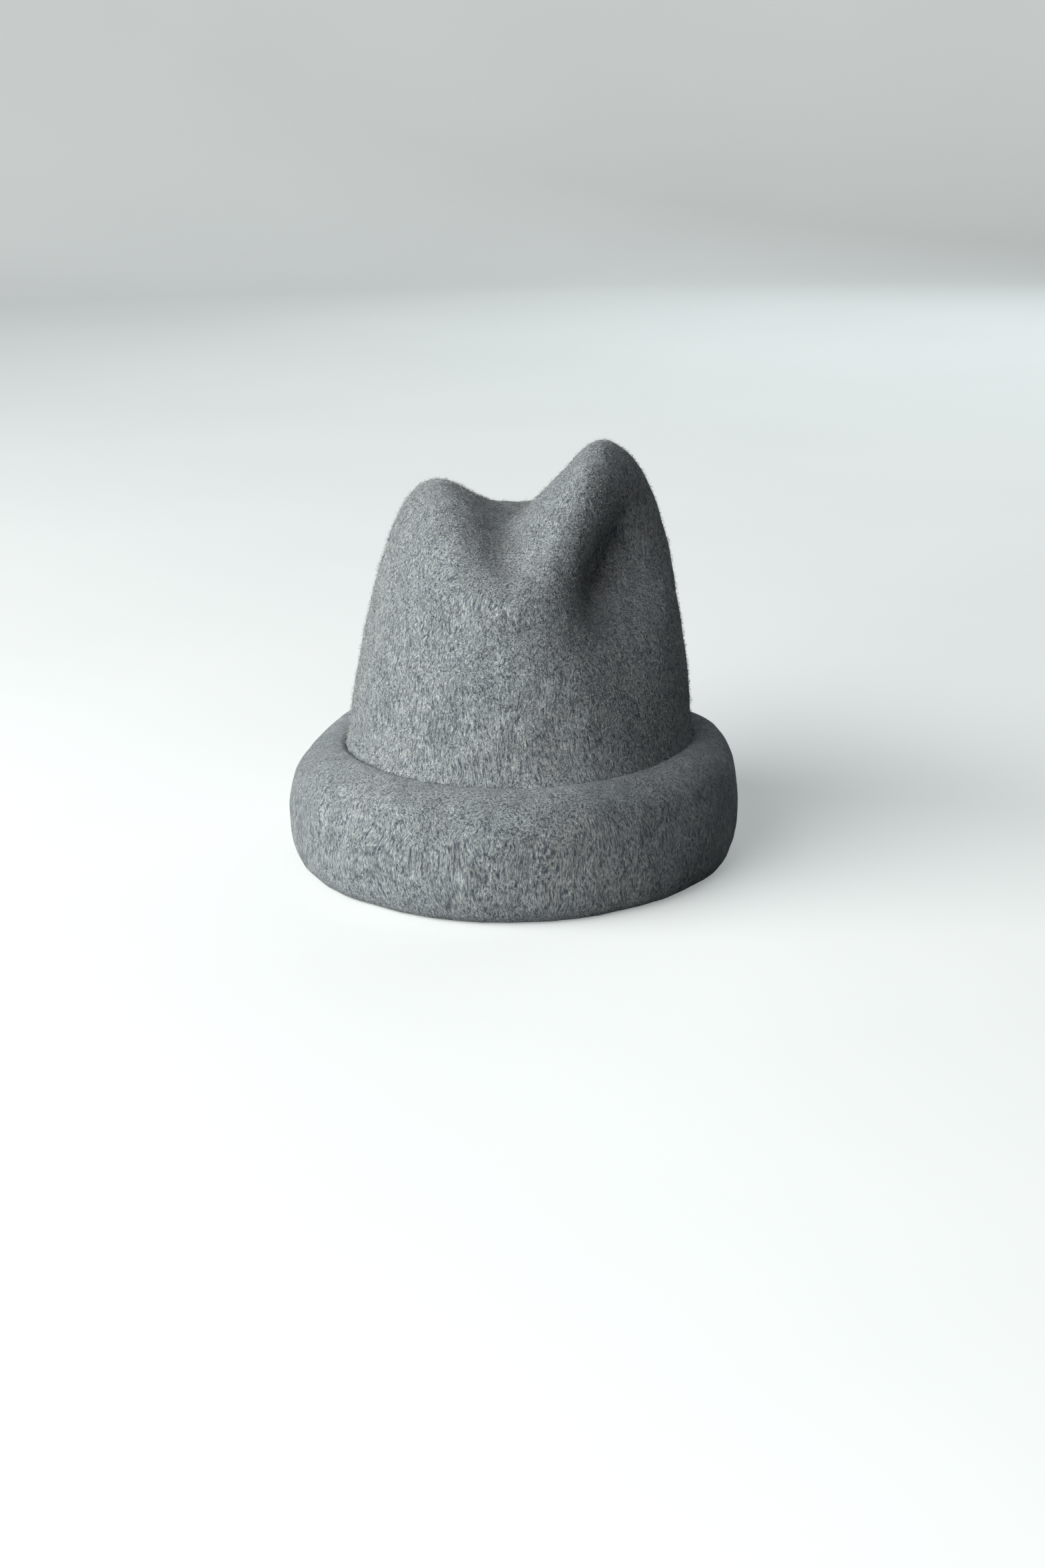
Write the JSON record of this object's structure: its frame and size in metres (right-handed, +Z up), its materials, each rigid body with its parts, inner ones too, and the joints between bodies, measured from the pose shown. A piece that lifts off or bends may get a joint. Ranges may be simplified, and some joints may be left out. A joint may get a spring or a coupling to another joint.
{
  "type": "fedora hat",
  "caption": "Soft grey felt fedora with a tall dented crown, a deep rolled-up brim, a leather sweatband and a satin lining.",
  "frame": {"origin": "bottom centre of the hat, in the middle of the rolled brim, on the surface that it stands on", "axes": "+Z up, -Y towards the front of the hat, +X towards the wearer's left"},
  "size_m": [0.227, 0.26, 0.2072],
  "materials": {
    "felt": "fuzzy grey melange wool felt, matt",
    "leather": "dark brown, satin",
    "satin": "charcoal satin, soft sheen",
    "ribbon": "ribbed petersham, matt",
    "tape": "cotton, matt",
    "thread": "twisted cotton thread",
    "label": "woven, matt",
    "wire": "drawn"
  },
  "bodies": {
    "root": {"crown": "felt", "rolled_brim": "felt", "brim_wire": "wire", "wire_joiner": "wire", "edge_binding": "ribbon", "headline_stitching": "thread", "tacking_stitches": "thread", "stay_tape": "tape", "sweatband": "leather", "sweatband_reed": "leather", "reed_stitching": "thread", "seam_stitching": "thread", "sweatband_bow": "ribbon", "size_label": "label", "lining_side": "satin", "lining_piping": "satin", "lining_tip": "satin", "maker_label": "label"}
  },
  "joints": []
}
